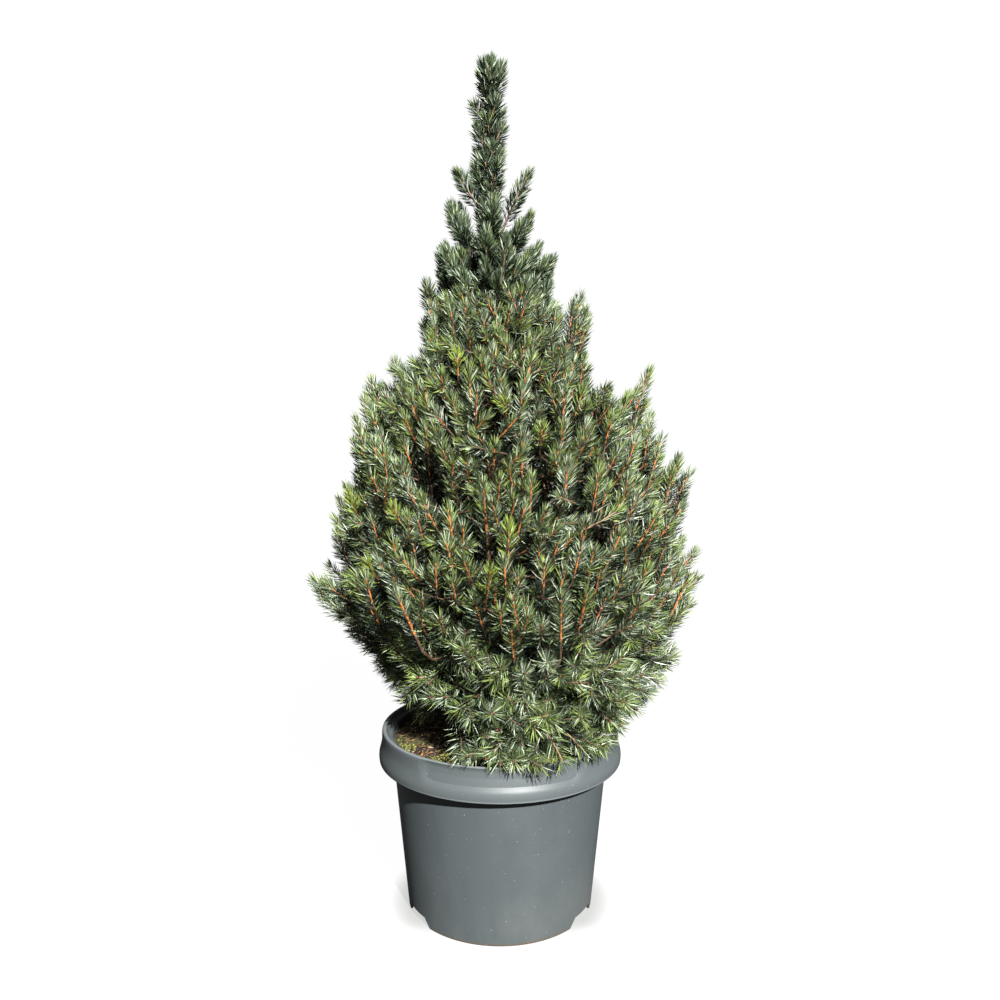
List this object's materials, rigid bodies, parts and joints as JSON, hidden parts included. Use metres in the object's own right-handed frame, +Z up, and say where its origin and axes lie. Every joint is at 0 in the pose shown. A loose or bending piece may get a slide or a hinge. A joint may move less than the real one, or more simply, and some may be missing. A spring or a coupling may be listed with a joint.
{
  "type": "potted spruce",
  "caption": "Young cone-shaped dwarf spruce with short dense needles, growing in a dark grey plastic nursery pot filled with soil.",
  "frame": {"origin": "middle of the pot's flat underside, on the pot's axis", "axes": "+Z up along the pot's axis towards the plant's top, -Y is the front, where the soil shows on the left"},
  "size_m": [0.4276, 0.3619, 0.888],
  "materials": {
    "pot": "satin",
    "soil": "matte",
    "bark": "matte",
    "needles": "matte"
  },
  "bodies": {
    "root": {"bough_lower_1": "bark", "bough_lower_2": "bark", "bough_lower_3": "bark", "bough_lower_4": "bark", "bough_lower_5": "bark", "bough_lower_6": "bark", "bough_middle_1": "bark", "bough_middle_2": "bark", "bough_middle_3": "bark", "bough_middle_4": "bark", "bough_middle_5": "bark", "bough_middle_6": "bark", "bough_skirt_1": "bark", "bough_skirt_2": "bark", "bough_skirt_3": "bark", "bough_skirt_4": "bark", "bough_skirt_5": "bark", "bough_skirt_6": "bark", "bough_upper_1": "bark", "bough_upper_2": "bark", "bough_upper_3": "bark", "bough_upper_4": "bark", "bough_upper_5": "bark", "foliage_leader": "needles", "foliage_lower_1": "needles", "foliage_lower_2": "needles", "foliage_lower_3": "needles", "foliage_lower_4": "needles", "foliage_lower_5": "needles", "foliage_lower_6": "needles", "foliage_middle_1": "needles", "foliage_middle_2": "needles", "foliage_middle_3": "needles", "foliage_middle_4": "needles", "foliage_middle_5": "needles", "foliage_middle_6": "needles", "foliage_neck_1": "needles", "foliage_neck_2": "needles", "foliage_neck_3": "needles", "foliage_shoulder_1": "needles", "foliage_shoulder_2": "needles", "foliage_shoulder_3": "needles", "foliage_shoulder_4": "needles", "foliage_skirt_1": "needles", "foliage_skirt_2": "needles", "foliage_skirt_3": "needles", "foliage_skirt_4": "needles", "foliage_skirt_5": "needles", "foliage_skirt_6": "needles", "foliage_spire_1": "needles", "foliage_spire_2": "needles", "foliage_spire_3": "needles", "foliage_upper_1": "needles", "foliage_upper_2": "needles", "foliage_upper_3": "needles", "foliage_upper_4": "needles", "foliage_upper_5": "needles", "pot": "pot", "soil": "soil", "trunk": "bark"}
  },
  "joints": []
}
